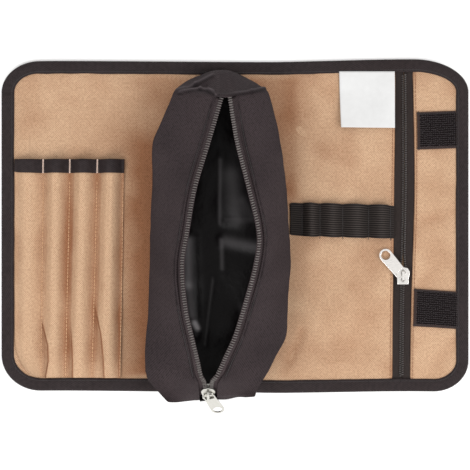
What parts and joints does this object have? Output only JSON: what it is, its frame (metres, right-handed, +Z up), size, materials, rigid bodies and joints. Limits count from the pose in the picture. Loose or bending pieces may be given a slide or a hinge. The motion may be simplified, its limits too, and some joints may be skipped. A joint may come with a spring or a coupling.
{
  "type": "tool roll",
  "caption": "Tool roll lying open: bound cloth panel with tool channels, a standing zip pouch, elastic loops, a long zip pocket and hook patches.",
  "frame": {"origin": "centre of the panel's underside, on the surface that the roll lies on", "axes": "+Z up out of the open roll, +X to the roll's right as its tool channels lie on the left, +Y to its top edge with the label"},
  "size_m": [0.4, 0.3027, 0.0524],
  "materials": {
    "tan_cloth": "matt plain-weave oxford cloth",
    "black_cloth": "matt oxford cloth, coated and glossy inside",
    "edge_tape": "woven grosgrain tape",
    "elastic": "ribbed elastic",
    "zip_coil": "nylon coil on woven tape",
    "hook_tape": "hook tape",
    "label_satin": "blank satin",
    "nickel": "plated, lightly brushed"
  },
  "bodies": {
    "roll": {"back_panel": "tan_cloth", "lining_main": "tan_cloth", "lining_strip": "tan_cloth", "edge_binding": "edge_tape", "channel_sheet": "tan_cloth", "channel_tape": "edge_tape", "elastic_loops": "elastic", "long_stringer_left": "zip_coil", "long_stringer_right": "zip_coil", "long_zip_slider": "nickel", "pouch_shell": "black_cloth", "pouch_stringer_left": "zip_coil", "pouch_stringer_right": "zip_coil", "pouch_zip_slider": "nickel", "hook_patch_upper": "hook_tape", "hook_patch_lower": "hook_tape", "blank_label": "label_satin"},
    "long_tab": {"long_zip_tab": "nickel"},
    "pouch_tab": {"pouch_zip_tab": "nickel"}
  },
  "joints": [
    {"name": "long_tab_hinge", "type": "hinge", "parent": "roll", "child": "long_tab", "pos_m": [0.14341, -0.0422, 0.0078], "axis": [0.766, 0.6428, 0], "range_deg": [0, 165]},
    {"name": "pouch_tab_hinge", "type": "hinge", "parent": "roll", "child": "pouch_tab", "pos_m": [-0.02252, -0.1418, 0.02881], "axis": [-0.9397, -0.2312, -0.252], "range_deg": [0, 150]}
  ]
}
